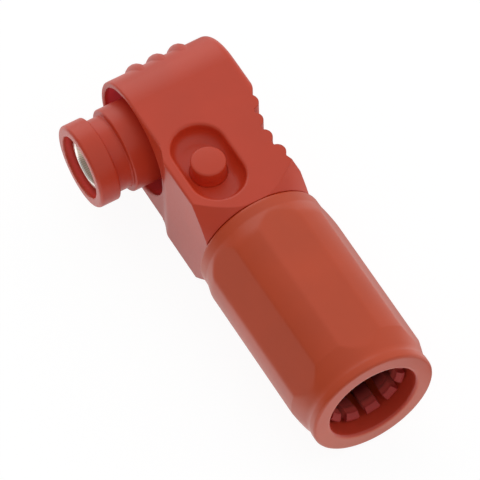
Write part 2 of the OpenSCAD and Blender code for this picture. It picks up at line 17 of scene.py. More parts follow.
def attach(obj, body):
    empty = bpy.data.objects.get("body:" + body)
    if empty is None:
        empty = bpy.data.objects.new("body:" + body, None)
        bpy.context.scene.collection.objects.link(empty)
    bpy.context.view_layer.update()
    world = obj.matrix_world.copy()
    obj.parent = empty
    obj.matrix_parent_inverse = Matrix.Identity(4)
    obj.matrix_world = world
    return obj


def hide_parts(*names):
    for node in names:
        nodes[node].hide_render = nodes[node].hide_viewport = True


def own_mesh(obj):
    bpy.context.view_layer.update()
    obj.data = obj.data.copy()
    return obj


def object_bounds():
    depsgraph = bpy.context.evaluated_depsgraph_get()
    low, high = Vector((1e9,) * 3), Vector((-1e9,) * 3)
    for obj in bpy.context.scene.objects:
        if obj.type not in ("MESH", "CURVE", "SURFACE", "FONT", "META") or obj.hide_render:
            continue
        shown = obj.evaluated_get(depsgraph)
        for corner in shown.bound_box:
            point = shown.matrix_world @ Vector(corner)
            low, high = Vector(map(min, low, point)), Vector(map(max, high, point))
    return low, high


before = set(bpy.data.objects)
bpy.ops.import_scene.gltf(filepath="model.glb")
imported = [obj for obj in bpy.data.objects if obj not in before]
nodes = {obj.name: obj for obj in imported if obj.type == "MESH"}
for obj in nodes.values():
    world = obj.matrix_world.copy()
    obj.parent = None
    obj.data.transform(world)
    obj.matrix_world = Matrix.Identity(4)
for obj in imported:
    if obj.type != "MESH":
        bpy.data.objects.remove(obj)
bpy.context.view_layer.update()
MM = 0.001

# %% [markdown]
# The photograph was taken from high up on the nose's side, with a long lens, so that
# parallel edges stay nearly parallel. The camera here stands at the same place. It looks at
# the point where the mating axis crosses the cable's axis, and is then shifted sideways to
# frame the whole part. The three angles come from fitting the circles of the nose, the
# shroud and the nut. Building the camera's three axes by hand keeps its roll exact, which a
# tracking constraint would not.

# %% Camera
CABLE_X = 21.5 * MM
VIEW_AZIMUTH = math.radians(-28.15)
VIEW_ELEVATION = math.radians(56.6)
VIEW_ROLL = math.radians(-2.02)
VIEW_DISTANCE = 1.26
VIEW_OFFSET = (13.11 * MM, -25.11 * MM)
SENSOR_MM = 36
LENS_MM = 450
NEAREST_SEEN = 0.01
FARTHEST_SEEN = 10


def camera_axes():
    """The camera's right, up and backward directions in the row frame."""
    back = Vector((
        math.sin(VIEW_AZIMUTH) * math.cos(VIEW_ELEVATION),
        -math.cos(VIEW_AZIMUTH) * math.cos(VIEW_ELEVATION),
        math.sin(VIEW_ELEVATION),
    ))
    level = Vector((math.cos(VIEW_AZIMUTH), math.sin(VIEW_AZIMUTH), 0))
    steep = back.cross(level)
    right = math.cos(VIEW_ROLL) * level + math.sin(VIEW_ROLL) * steep
    up = -math.sin(VIEW_ROLL) * level + math.cos(VIEW_ROLL) * steep
    return right, up, back


right, up, back = camera_axes()
camera = bpy.data.objects.new("camera", bpy.data.cameras.new("camera"))
bpy.context.scene.collection.objects.link(camera)
camera.data.sensor_width = SENSOR_MM
camera.data.lens = LENS_MM
camera.data.clip_start = NEAREST_SEEN
camera.data.clip_end = FARTHEST_SEEN
stand = Vector((CABLE_X, 0, 0)) + VIEW_OFFSET[0] * right + VIEW_OFFSET[1] * up + VIEW_DISTANCE * back
camera.matrix_world = Matrix.Translation(stand) @ Matrix((right, up, back)).transposed().to_4x4()
bpy.context.scene.camera = camera
print("camera at", [round(c, 3) for c in stand])

# %% [markdown]
# A material's pattern is arithmetic on numbers that change over the surface. Placing and
# linking Math nodes by hand hides that arithmetic, so a Socket wraps one output of a node
# and its operators add the nodes. An expression such as 1 - mask then works as it reads.

# %% Socket


class Socket:
    """One output of a node, with operators that add Math nodes."""

    def __init__(self, finish, output):
        self.finish = finish
        self.output = output

    def math(self, operation, other=0, swap=False):
        first, second = (other, self) if swap else (self, other)
        return self.finish.make("ShaderNodeMath", {"operation": operation}, {0: first, 1: second})

    def __add__(self, other):
        return self.math("ADD", other)

    def __radd__(self, other):
        return self.math("ADD", other, True)

    def __sub__(self, other):
        return self.math("SUBTRACT", other)

    def __rsub__(self, other):
        return self.math("SUBTRACT", other, True)

    def __mul__(self, other):
        return self.math("MULTIPLY", other)

    def __rmul__(self, other):
        return self.math("MULTIPLY", other, True)


print("a Socket adds a Math node for each +, - and *")

# %% [markdown]
# A Finish is a node tree, of a material or of the world. All of its nodes come from one
# method, make, which sets a node's settings first and then its values and links. The other
# methods are the few patterns that the finishes below share: a ramp between two marks, a
# band that rises and falls again, the place on the part, and a mix of two colours.

# %% Finish


class Finish:
    """A node tree of a material or the world."""

    def __init__(self, owner):
        owner.use_nodes = True
        self.owner = owner
        self.tree = owner.node_tree
        self.tree.nodes.clear()

    def make(self, kind, settings=None, values=None, out=0):
        """Adds a node: its settings first, then the values or links of its sockets."""
        node = self.tree.nodes.new(kind)
        for key, value in (settings or {}).items():
            setattr(node, key, value)
        for key, value in (values or {}).items():
            if isinstance(value, Socket):
                self.tree.links.new(value.output, node.inputs[key])
            else:
                node.inputs[key].default_value = value
        return Socket(self, node.outputs[out]) if node.outputs else node

    def ramp(self, value, low, high):
        """0 where value is at low, 1 where it is at high."""
        return self.make("ShaderNodeMapRange", None, {"Value": value, "From Min": low, "From Max": high})

    def band(self, value, marks):
        """Four marks: 0 up to the first, 1 from the second to the third, 0 from the fourth."""
        start, full, last, end = marks
        return self.ramp(value, start, full) * self.ramp(value, end, last)

    def place(self):
        """The point's x, y and z in the row frame, in mm."""
        spot = self.make("ShaderNodeTexCoord", out="Object")
        in_mm = self.make("ShaderNodeVectorMath", {"operation": "SCALE"}, {0: spot, "Scale": 1 / MM})
        return [self.make("ShaderNodeSeparateXYZ", None, {0: in_mm}, k) for k in range(3)]

    def radius(self, first, second):
        """The distance from an axis whose two cross coordinates are given."""
        return (first * first + second * second).math("POWER", 0.5)

    def noise(self, spot, scale, detail):
        """Noise from 0 to 1, where 1 / scale metres is about the size of a speck."""
        return self.make("ShaderNodeTexNoise", None, {"Vector": spot, "Scale": scale, "Detail": detail})

    def blend(self, factor, first, second):
        """A colour from first to second by factor. 6 and 7 are Mix's colour sockets."""
        return self.make("ShaderNodeMix", {"data_type": "RGBA"}, {0: factor, 6: first, 7: second}, 2)

    def surface(self, values):
        """Ends a material with a Principled shader of these values, and returns the material."""
        shader = self.make("ShaderNodeBsdfPrincipled", None, values)
        self.make("ShaderNodeOutputMaterial", None, {"Surface": shader})
        return self.owner


def new_finish(name):
    return Finish(bpy.data.materials.new(name))


print("a Finish has", ", ".join(name for name in vars(Finish) if not name.startswith("_")))

# %% [markdown]
# Colours that were read off a picture are numbers from 0 to 255 with the screen's curve in
# them. Blender's sockets want linear light, so rgb takes the curve out. shaded makes a darker
# or paler copy of a colour.

# %% Colours


def linear(level):
    """One channel from 0 to 255, as linear light."""
    share = level / 255
    return share / 12.92 if share <= 0.04045 else ((share + 0.055) / 1.055) ** 2.4


def rgb(red, green, blue):
    return (linear(red), linear(green), linear(blue), 1)


def shaded(colour, share):
    return tuple(min(1, c * share) for c in colour[:3]) + (1,)


print("a screen's middle grey of 128 is", round(linear(128), 3), "of the light of white")

# %% [markdown]
# The shells are one kind of moulding: an opaque, satin red-orange plastic. The tool's fine
# spark-eroded skin shows as a very small grain, the colour drifts a little as it does in a
# filled plastic, and every moulded edge has a small radius. Real bevels on the CAD meshes
# would change them, so a Bevel node bends only the shading at an edge. The grain is a Bump
# on top of it. inside is a function that changes some of the values by place.

# %% Moulded plastic
DRIFT_SCALE = 70
DRIFT_RANGE = (0.35, 0.65)
DRIFT_SHADE = 0.93
GRAIN_SCALE = 5200
GRAIN_SHARE = 0.6
SPECK_SCALE = 1400
SPECK_SHARE = 0.4
GRAIN_STRENGTH = 0.12
GRAIN_DEPTH = 0.02 * MM
ROUGHNESS_SWING = 0.08
PLASTIC_IOR = 1.5


def moulded_plastic(name, colour, roughness, edge, inside):
    f = new_finish(name)
    spot = f.make("ShaderNodeTexCoord", out="Object")
    drift = f.noise(spot, DRIFT_SCALE, 3)
    grain = f.noise(spot, GRAIN_SCALE, 2)
    speck = f.noise(spot, SPECK_SCALE, 2)
    base = f.blend(f.ramp(drift, *DRIFT_RANGE), shaded(colour, DRIFT_SHADE), colour)
    soft = f.make("ShaderNodeBevel", {"samples": 6}, {"Radius": edge})
    bumped = f.make("ShaderNodeBump", None, {
        "Strength": GRAIN_STRENGTH, "Distance": GRAIN_DEPTH,
        "Height": grain * GRAIN_SHARE + speck * SPECK_SHARE, "Normal": soft,
    })
    values = {
        "Base Color": base, "Normal": bumped, "IOR": PLASTIC_IOR,
        "Roughness": roughness - ROUGHNESS_SWING / 2 + ROUGHNESS_SWING * speck,
    }
    values.update(inside(f, base))
    return f.surface(values)


print("grain specks of about", round(1 / GRAIN_SCALE / MM, 2), "and", round(1 / SPECK_SCALE / MM, 2), "mm")

# %% [markdown]
# Light that falls into a red plastic hollow bounces from wall to wall and comes out crimson,
# and some of it comes through the wall. A few bounces of rendered light lose that, so a
# painted crimson glow lights the recess around the nose and the nose's own mouth a little.
# More bounces would cost time in every render and still miss the light in the wall. The glow
# is placed by the distance from the mating axis and along it. The nose's foot, deep in the
# recess, gets painted shade instead: a darker red.

# %% Glow of the two hollows
NO_GLOW = (0, 0, 0, 1)
HOLLOW_GLOW = (0.15, 0.012, 0.018, 1)
RECESS_RADII = (11.9, 12.2, 12.5, 12.6)
RECESS_DEPTHS = (11.0, 12.0, 15.0, 18.7)
RECESS_HEIGHTS = (-12, 6)
RECESS_LEAST = 0.25
MOUTH_RADII = (6.9, 7.05, 7.2, 7.4)
MOUTH_DEPTHS = (-1.9, -1.2, -0.9, 0.3)
MOUTH_SHARE = 0.75
FOOT_RADII = (9.2, 9.3, 9.5, 9.6)
FOOT_DEPTHS = (9.0, 12.5)
FOOT_SHADE_RED = (0.35, 0.02, 0.008, 1)
FOOT_SHADE_SHARE = 0.5


def hollow_glow(f, base):
    x, y, z = f.place()
    r = f.radius(y, z)
    recess_wall = f.band(r, RECESS_RADII) * f.band(x, RECESS_DEPTHS)
    recess_light = recess_wall * (RECESS_LEAST + (1 - RECESS_LEAST) * f.ramp(z, *RECESS_HEIGHTS))
    mouth_wall = f.band(r, MOUTH_RADII) * f.band(x, MOUTH_DEPTHS)
    glow = f.blend(recess_light + MOUTH_SHARE * mouth_wall, NO_GLOW, HOLLOW_GLOW)
    # Painted shade: a darker red on the nose's foot, deep in the recess.
    nose_foot_shade = f.band(r, FOOT_RADII) * f.ramp(x, *FOOT_DEPTHS)
    red = f.blend(nose_foot_shade * FOOT_SHADE_SHARE, base, FOOT_SHADE_RED)
    return {"Base Color": red, "Emission Color": glow, "Emission Strength": 1.0}


print("glow in the recess from x =", RECESS_DEPTHS[0], "to", RECESS_DEPTHS[3], "mm")

# %% [markdown]
# The claw sits deep in the nut. Its fingers' tips catch the light, and in the photograph the
# rest of them goes dark within a few millimetres, faster than in the render. So painted shade
# darkens the colour behind the tips, and a faint painted glow just behind them stands for
# light that bounces between the fingers. Both go by the place along the cable.

# %% Shade in the claw
CLAW_DEPTHS = (-76.2, -71.5)
CLAW_SHADE_RED = (0.10, 0.008, 0.008, 1)
CLAW_SPECULAR = 0.3
BEHIND_TIPS = (-76.9, -76.3, -75.8, -72.5)
TIP_GLOW = (0.04, 0.008, 0.006, 1)


def claw_shade(f, base):
    y = f.place()[1]
    return {
        # Painted shade darkens the fingers behind their tips, and a painted glow lights the band just
        # behind them.
        "Base Color": f.blend(f.ramp(y, *CLAW_DEPTHS), base, CLAW_SHADE_RED),
        "Specular IOR Level": CLAW_SPECULAR,
        "Emission Color": f.blend(f.band(y, BEHIND_TIPS), NO_GLOW, TIP_GLOW), "Emission Strength": 1.0,
    }


print("the fingers' colour falls off over", round(CLAW_DEPTHS[1] - CLAW_DEPTHS[0], 1), "mm")

# %% [markdown]
# The nut's rear face takes its light from two sides: the upper part from the dim room behind
# the viewer, the lower part from the bright table. So its colour is painted darker above and
# paler below, and inside its opening painted shade makes the plastic a deeper red. Three blends by place
# do that.

# %% Rear face and opening of the nut
REAR_FACE = (-80.6, -81.0)
UPPER_HEIGHTS = (-2, 11)
UPPER_SHADE_RED = (0.50, 0.050, 0.012, 1)
UPPER_SHARE = 0.5
LOWER_HEIGHTS = (2, -11)
LOWER_LIGHT_RED = (0.66, 0.140, 0.070, 1)
LOWER_SHARE = 0.6
OPENING_RADII = (10.6, 10.3)
OPENING_SHADE_RED = (0.61, 0.055, 0.025, 1)


def rear_light_and_opening_shade(f, base):
    x, y, z = f.place()
    r = f.radius(x - CABLE_X / MM, z)
    # Painted light and shade: the rear face is darker above and paler below, and the opening is a deeper
    # red.
    rear_face = f.ramp(y, *REAR_FACE)
    upper = f.blend(rear_face * f.ramp(z, *UPPER_HEIGHTS) * UPPER_SHARE, base, UPPER_SHADE_RED)
    lower = f.blend(rear_face * f.ramp(z, *LOWER_HEIGHTS) * LOWER_SHARE, upper, LOWER_LIGHT_RED)
    return {"Base Color": f.blend(f.ramp(r, *OPENING_RADII), lower, OPENING_SHADE_RED)}


print("opening tinted inside a radius of", OPENING_RADII[1], "mm")

# %% [markdown]
# Three mouldings share the recipe. In the photograph the nut is a little more orange than
# the head, and the claw is a duller, darker red. The nut's and the claw's edges are rounded
# in the mesh itself, so their Bevel nodes have a small radius.

# %% The three plastics
SHELL_RED = (0.69, 0.057, 0.018, 1)
NUT_RED = (0.65, 0.072, 0.015, 1)
CLAW_RED = (0.47, 0.044, 0.038, 1)
SHELL_EDGE = 0.35 * MM
NUT_EDGE = 0.1 * MM
CLAW_EDGE = 0.15 * MM
shell_finish = moulded_plastic("shell_plastic", SHELL_RED, 0.38, SHELL_EDGE, hollow_glow)
nut_finish = moulded_plastic("nut_plastic", NUT_RED, 0.37, NUT_EDGE, rear_light_and_opening_shade)
claw_finish = moulded_plastic("claw_plastic", CLAW_RED, 0.55, CLAW_EDGE, claw_shade)
print("plastics:", shell_finish.name, nut_finish.name, claw_finish.name)

# %% [markdown]
# The contact tube and the lug are silver-plated copper, and the small parts are steel.
# Turning leaves fine rings around the axis, which stretch each highlight across them. Noise
# that is squeezed along the mating axis makes such rings without a line for each. A second
# noise dulls the metal in patches, as tarnish does.

# %% Turned metal
RING_SQUEEZE = (6000, 150, 150)
RING_STRENGTH = 0.2
RING_DEPTH = 0.01 * MM
METAL_EDGE = 0.12 * MM
TARNISH_SCALE = 260
TARNISH_RANGE = (0.45, 0.7)
TARNISH_SHADE = 0.8
TARNISH_ROUGHNESS = 0.1


def turned_metal(name, colour, roughness):
    f = new_finish(name)
    spot = f.make("ShaderNodeTexCoord", out="Object")
    squeezed = f.make("ShaderNodeMapping", None, {"Vector": spot, "Scale": RING_SQUEEZE})
    rings = f.noise(squeezed, 1, 3)
    tarnish = f.noise(spot, TARNISH_SCALE, 4)
    soft = f.make("ShaderNodeBevel", {"samples": 4}, {"Radius": METAL_EDGE})
    bumped = f.make("ShaderNodeBump", None, {
        "Strength": RING_STRENGTH, "Distance": RING_DEPTH, "Height": rings, "Normal": soft,
    })
    return f.surface({
        "Base Color": f.blend(f.ramp(tarnish, *TARNISH_RANGE), colour, shaded(colour, TARNISH_SHADE)),
        "Metallic": 1.0, "Roughness": roughness + TARNISH_ROUGHNESS * tarnish, "Normal": bumped,
    })


silver_finish = turned_metal("silver_plate", rgb(226, 222, 212), 0.24)
crown_finish = turned_metal("crown_alloy", rgb(214, 176, 132), 0.22)
steel_finish = turned_metal("spring_steel", rgb(176, 176, 178), 0.3)
print("metals:", silver_finish.name, crown_finish.name, steel_finish.name)

# %% [markdown]
# Seals are a soft red-brown rubber. Rubber is rough, and a pale bloom comes out of it in
# patches, so one noise drives its colour, its roughness and a shallow bump together.

# %% Seal rubber
BLOOM_SCALE = 300
BLOOM_RANGE = (0.4, 0.7)
BLOOM_PALER = 1.3
BLOOM_STRENGTH = 0.3
BLOOM_DEPTH = 0.02 * MM
RUBBER_ROUGHNESS = 0.6
BLOOM_ROUGHNESS = 0.2


def seal_rubber(name, colour):
    f = new_finish(name)
    spot = f.make("ShaderNodeTexCoord", out="Object")
    bloom = f.noise(spot, BLOOM_SCALE, 4)
    bumped = f.make("ShaderNodeBump", None, {
        "Strength": BLOOM_STRENGTH, "Distance": BLOOM_DEPTH, "Height": bloom,
    })
    return f.surface({
        "Base Color": f.blend(f.ramp(bloom, *BLOOM_RANGE), colour, shaded(colour, BLOOM_PALER)),
        "Roughness": RUBBER_ROUGHNESS + BLOOM_ROUGHNESS * bloom, "Normal": bumped,
    })


rubber_finish = seal_rubber("seal_rubber", rgb(120, 34, 26))
print("rubber:", rubber_finish.name)

# %% [markdown]
# Inside the contact's mouth the photograph shows a grey-brown wall of narrow leaves behind a
# thin bright lip. The leaves are too fine to build one by one at this size, so a sine of the
# angle around the axis draws them, in colour and as a bump. The lip is polished silver.

# %% Leaf metal
LEAVES = 62
LEAF_BORE_R = 4.2
LEAF_DARK = rgb(176, 158, 140)
LEAF_LIGHT = rgb(204, 187, 170)
LEAF_RANGE = (-0.9, 0.6)
LEAF_STRENGTH = 0.3
LEAF_DEPTH = 0.03 * MM
LEAF_ROUGHNESS = 0.42
LIP_SILVER = rgb(240, 236, 228)
LIP_COLOUR = (-0.05, -0.25)
LIP_POLISHED = (0, -0.3)
LIP_POLISH = 0.12

f = new_finish("leaf_metal")
x, y, z = f.place()
stripe = (z.math("ARCTAN2", y) * LEAVES).math("SINE")
leaf_bump = f.make("ShaderNodeBump", None, {
    "Strength": LEAF_STRENGTH, "Distance": LEAF_DEPTH, "Height": stripe,
})
leaf_wall = f.blend(f.ramp(stripe, *LEAF_RANGE), LEAF_DARK, LEAF_LIGHT)
leaf_finish = f.surface({
    "Base Color": f.blend(f.ramp(x, *LIP_COLOUR), leaf_wall, LIP_SILVER), "Metallic": 1.0,
    "Roughness": LEAF_ROUGHNESS - LIP_POLISH * f.ramp(x, *LIP_POLISHED), "Normal": leaf_bump,
})
print("leaves:", LEAVES, "each", round(2 * math.pi * LEAF_BORE_R / LEAVES, 2), "mm wide")

# %% [markdown]
# Fourteen of the CAD nodes have the right shape already. They only trade their plain
# material for the finish of the real thing. The other six are made again further down.

# %% Finish of each kept node
FINISH_OF = {
    shell_finish: ["housing", "rear_cap"],
    silver_finish: ["contact_socket", "cable_lug"],
    crown_finish: ["contact_crown"],
    steel_finish: ["lug_screw", "lock_washer", "retaining_ring", "latch_plate", "seal_washer"],
    rubber_finish: ["cap_seal", "interface_seal", "nut_seal", "cable_seal"],
}
for finish, names in FINISH_OF.items():
    for name in names:
        nodes[name].data.materials.clear()
        nodes[name].data.materials.append(finish)
print("kept nodes with a finish:", sum(len(names) for names in FINISH_OF.values()))

# %% [markdown]
# Most pieces of such a plug are turned or moulded round, so one way of making serves for
# them: draw half of the section as a list of corners, round each corner, and turn the
# outline about its axis. A corner is its distance from the axis, its place along it and its
# rounding. Rounding the outline before turning it gives each edge its true radius, which a
# Bevel modifier on the turned mesh would only come near to. refined adds points where the
# radius changes, for shapes that are bent after they are turned.

# %% Rounded outlines
SAME_RADIUS = 0.001


def rounded(corners, steps=5):
    """Points of a closed outline whose corners (radius, along, rounding) are rounded."""
    points = []
    for i, (radius, along, rounding) in enumerate(corners):
        here = Vector((radius, along))
        if not rounding:
            points.append(here)
            continue
        back = (Vector(corners[i - 1][:2]) - here).normalized()
        ahead = (Vector(corners[(i + 1) % len(corners)][:2]) - here).normalized()
        half = back.angle(ahead) / 2
        centre = here + (back + ahead).normalized() * rounding / math.sin(half)
        first = here + back * rounding / math.tan(half) - centre
        last = here + ahead * rounding / math.tan(half) - centre
        start = math.atan2(first.y, first.x)
        sweep = math.remainder(math.atan2(last.y, last.x) - start, 2 * math.pi)
        for k in range(steps + 1):
            angle = start + sweep * k / steps
            points.append(centre + rounding * Vector((math.cos(angle), math.sin(angle))))
    return points


def refined(points, sloped=0.25, straight=2.5):
    """The same outline with more points, closest where its radius changes."""
    finer = []
    for first, second in zip(points, points[1:] + points[:1]):
        longest = straight if abs(first.x - second.x) < SAME_RADIUS else sloped
        count = max(1, math.ceil((second - first).length / longest))
        finer += [first.lerp(second, k / count) for k in range(count)]
    return finer


sample = rounded([(1, 0, 0.2), (2, 0, 0.2), (2, 1, 0.2), (1, 1, 0.2)])
print("a square with four rounded corners has", len(sample), "points")

# %% [markdown]
# The plug has two main axes that cross at a right angle: the mating axis, along X, and the
# cable's axis, along -Y. A function for each turns a radius, a place along the axis and an
# angle into a point. turned calls it for every point of the outline at every step of the
# turn, and joins neighbours with quads. A part of a turn gets two end faces, so that every
# mesh is closed.

# %% Turned meshes
FULL_TURN = 2 * math.pi
TURN_MARGIN = 0.001


def about_mating_axis(radius, along, turn):
    return (along * MM, radius * math.cos(turn) * MM, radius * math.sin(turn) * MM)


def about_cable_axis(radius, along, turn):
    return (CABLE_X + radius * math.cos(turn) * MM, -along * MM, radius * math.sin(turn) * MM)


def turned(about_axis, outline, steps=192, start=0.0, sweep=FULL_TURN, radius_at=None):
    """Points and faces of an outline that is turned about an axis."""
    whole = sweep > FULL_TURN - TURN_MARGIN
    stations = steps if whole else steps + 1
    points = []
    for i in range(stations):
        turn = start + sweep * i / steps
        for spot in outline:
            radius = radius_at(spot.x, turn) if radius_at else spot.x
            points.append(about_axis(radius, spot.y, turn))
    n = len(outline)
    faces = []
    for i in range(steps):
        j = (i + 1) % stations
        faces += [(i * n + k, i * n + (k + 1) % n, j * n + (k + 1) % n, j * n + k) for k in range(n)]
    if not whole:
        faces.append(tuple(range(n)))
        faces.append(tuple(reversed(range(steps * n, steps * n + n))))
    return points, faces


sample_points, sample_faces = turned(about_mating_axis, sample, 8)
print("turned in 8 steps it has", len(sample_points), "points and", len(sample_faces), "faces")

# %% [markdown]
# Every new piece goes through the same steps. Its mesh is made from points and faces, bmesh
# turns all faces outward and marks the sharp edges, and weighted normals keep flat faces
# flat next to the small roundings. Then the piece takes its finish, is attached to the body
# that carries it, and the CAD node it stands for is hidden.

# %% Making a piece
SHARP = math.radians(40)


def made_piece(name, parts, finish, body, node):
    """A piece from one or more lists of points and faces, which stands for a CAD node."""
    points = []
    faces = []
    for part_points, part_faces in parts:
        faces += [tuple(k + len(points) for k in face) for face in part_faces]
        points += part_points
    mesh = bpy.data.meshes.new(name)
    mesh.from_pydata(points, [], faces)
    shape = bmesh.new()
    shape.from_mesh(mesh)
    bmesh.ops.recalc_face_normals(shape, faces=shape.faces)
    for edge in shape.edges:
        edge.smooth = edge.calc_face_angle(0) < SHARP
    for face in shape.faces:
        face.smooth = True
    shape.to_mesh(mesh)
    shape.free()
    mesh.materials.append(finish)
    piece = bpy.data.objects.new(name, mesh)
    bpy.context.scene.collection.objects.link(piece)
    piece.modifiers.new("even shading", "WEIGHTED_NORMAL").keep_sharp = True
    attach(piece, body)
    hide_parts(node)
    print(name, "faces:", len(mesh.polygons))
    return piece


print("edges sharper than", round(math.degrees(SHARP)), "degrees stay sharp")

# %% [markdown]
# The nose is the touch-proof barrel around the contact. Behind its rim runs a groove for
# the mating ring. The rim's back is steep, with a fine rounded edge that catches the light,
# and the groove is longer than in the solid. Both are plain corners in the outline.

# %% Nose
NOSE = [
    (7.15, -2.1, 0.25), (9.4, -2.1, 0.7), (9.4, 2.6, 0.2), (8.2, 2.85, 0.12), (8.2, 6.26, 0.15),
    (9.4, 6.26, 0.35), (9.4, 20.5, 0.1), (10.7, 20.5, 0.1), (10.7, 21.9, 0.1), (8.1, 21.9, 0.1),
    (8.1, 19.9, 0.1), (6.05, 19.9, 0.1), (6.05, 5.6, 0.1), (7.15, 5.0, 0.2),
]
made_piece(
    "moulded_nose", [turned(about_mating_axis, refined(rounded(NOSE), 0.5, 4))],
    shell_finish, "connector", "nose_insulator",
)

# %% [markdown]
# The release button is a cup that slides in its well, over the stem of the latch plate and
# the spring. Its side flares a little toward the pocket's floor, so that only a hairline
# shows around it. It stands upright, so its outline turns about an axis of its own.

# %% Release button
BUTTON_X = 17.6
BUTTON_D = 20.5
BUTTON = [
    (3.96, 8.6, 0.1), (3.96, 10.1, 0.3), (3.74, 10.8, 1.5), (3.74, 13.9, 0.5), (0.02, 13.9, 0),
    (0.02, 12.1, 0), (3.1, 12.1, 0.2), (3.1, 8.6, 0.1),
]


def about_button(radius, along, turn):
    x = BUTTON_X + radius * math.cos(turn)
    y = radius * math.sin(turn) - BUTTON_D
    return (x * MM, y * MM, along * MM)


made_piece(
    "moulded_button", [turned(about_button, rounded(BUTTON), 128)],
    shell_finish, "release", "release_button",
)

# %% [markdown]
# The ring in the contact's mouth is a steep funnel, which leads the pin into the leaves of
# the crown. Only the tube's thin edge shines in front of it.

# %% Lead-in funnel
FUNNEL = [(4.2, 0.9, 0.2), (4.8, -0.5, 0.35), (5.15, -0.5, 0.03), (5.15, 1.2, 0.05), (4.2, 1.2, 0.05)]
made_piece(
    "lead_in_funnel", [turned(about_mating_axis, rounded(FUNNEL))],
    leaf_finish, "connector", "crown_ring",
)

# %% [markdown]
# The nut is turned about the cable's axis, and then six flats are moulded into it. A boolean
# cut would leave a hard edge, but on the real nut the flats run softly into the round body.
# So each point's radius is the lower of the body's and the flat's, with a soft change from
# one to the other. The bore is left round. The outline ends in a waist and a bead.

# %% Gland nut
NUT_FRONT = 34.18
NUT_REAR = 81.1
NUT_R = 15.14
NUT_STEPS = 300
FLAT_DISTANCE = 14.4
FLAT_TURN = math.radians(25.6)
FLAT_STEP = math.radians(60)
FLAT_SOFTNESS = 0.16
OUTSIDE_R = 13.0
NUT = [
    (12.9, NUT_FRONT, 0.2), (14.2, NUT_FRONT, 0.8), (14.25, NUT_FRONT + 3.1, 2.5),
    (NUT_R, NUT_FRONT + 6.6, 8), (NUT_R, NUT_REAR - 7.4, 1), (13.85, NUT_REAR - 2.9, 3.0),
    (14.05, NUT_REAR - 1.8, 2.0), (14.05, NUT_REAR, 0.6), (10.05, NUT_REAR, 0.8),
    (10.05, NUT_REAR - 4, 2), (12.2, 60.7, 2), (12.2, NUT_FRONT + 3.8, 0.1),
    (12.9, NUT_FRONT + 3.8, 0.1),
]


def nut_radius(radius, turn):
    """The radius after the flats are cut: a soft minimum."""
    if radius < OUTSIDE_R:
        return radius
    beside = (turn - FLAT_TURN + FLAT_STEP / 2) % FLAT_STEP - FLAT_STEP / 2
    flat = FLAT_DISTANCE / math.cos(beside)
    near = max(FLAT_SOFTNESS - abs(radius - flat), 0) / FLAT_SOFTNESS
    return min(radius, flat) - near * near * FLAT_SOFTNESS / 4


made_piece(
    "moulded_nut", [turned(about_cable_axis, refined(rounded(NUT)), NUT_STEPS, radius_at=nut_radius)],
    nut_finish, "nut", "gland_nut",
)

# %% [markdown]
# The claw is a ring that carries eleven fingers. The nut's cone bends them onto the cable.
# Each finger's tip has a broad bevel inside, so that the cable finds its way in. A finger
# is a part of a turn of its own outline, and its foot stands in the ring.

# %% Claw
FINGERS = 11
FINGER_TURN = math.radians(282.5)
FINGER_SHARE = 0.64
FINGER_STEPS = 8
RING = [(9.6, 53.7, 0.2), (11.6, 53.7, 0.2), (11.6, 57.7, 0.2), (9.6, 57.7, 0.2)]
FINGER = [
    (9.7, 57.4, 0), (8.1, 74.8, 1), (7.8, 75.4, 1), (7.8, 76.9, 0.15), (8.7, 77.75, 0.12),
    (9.25, 77.8, 0.1), (9.4, 77.5, 0.15), (11.1, 57.4, 0),
]
pitch = FULL_TURN / FINGERS
claw_parts = [turned(about_cable_axis, rounded(RING))]
for i in range(FINGERS):
    start = FINGER_TURN + pitch * (i - FINGER_SHARE / 2)
    claw_parts.append(turned(about_cable_axis, rounded(FINGER), FINGER_STEPS, start, pitch * FINGER_SHARE))
made_piece("claw_fingers", claw_parts, claw_finish, "connector", "clamp_claw")

# %% [markdown]
# The button's spring is a coil of round wire with closed ends, so that it stands flat. A
# curve with a round bevel could make the wire, but its pitch has to change at both ends, so
# the height of the wire's middle comes from a function of the share of the wire's length.

# %% Height of the spring's wire
SPRING_LOW = 7.0
SPRING_HIGH = 12.0
SPRING_TURNS = 7
WIRE_R = 0.2
CLOSED_GAP = 1.03


def spring_height(share):
    """Height of the wire's middle: a closed turn at each end, open turns between."""
    closed = 1 / SPRING_TURNS
    rise = 2 * WIRE_R * CLOSED_GAP
    free = SPRING_HIGH - SPRING_LOW - 2 * WIRE_R - 2 * rise
    low_end = min(share, closed) / closed * rise
    high_end = max(share - 1 + closed, 0) / closed * rise
    open_part = min(max((share - closed) / (1 - 2 * closed), 0), 1) * free
    return SPRING_LOW + WIRE_R + low_end + open_part + high_end


print("the wire's middle rises from", spring_height(0), "to", round(spring_height(1), 2), "mm")

# %% [markdown]
# A ring of points goes round the wire at each step along it, and quads join each ring to the
# next. The spring stands on the well's floor and rides on the connector.

# %% Button spring
SPRING_X = 18.9
SPRING_D = 20.5
SPRING_R = 1.15
WIRE_SIDES = 14
SPRING_STEPS = 44 * SPRING_TURNS


def spring_point(step, side):
    """A point on the wire's skin."""
    share = step / SPRING_STEPS
    turn = FULL_TURN * SPRING_TURNS * share
    around = FULL_TURN * side / WIRE_SIDES
    radius = SPRING_R + WIRE_R * math.cos(around)
    x = SPRING_X + radius * math.cos(turn)
    y = -SPRING_D + radius * math.sin(turn)
    z = spring_height(share) + WIRE_R * math.sin(around)
    return (x * MM, y * MM, z * MM)


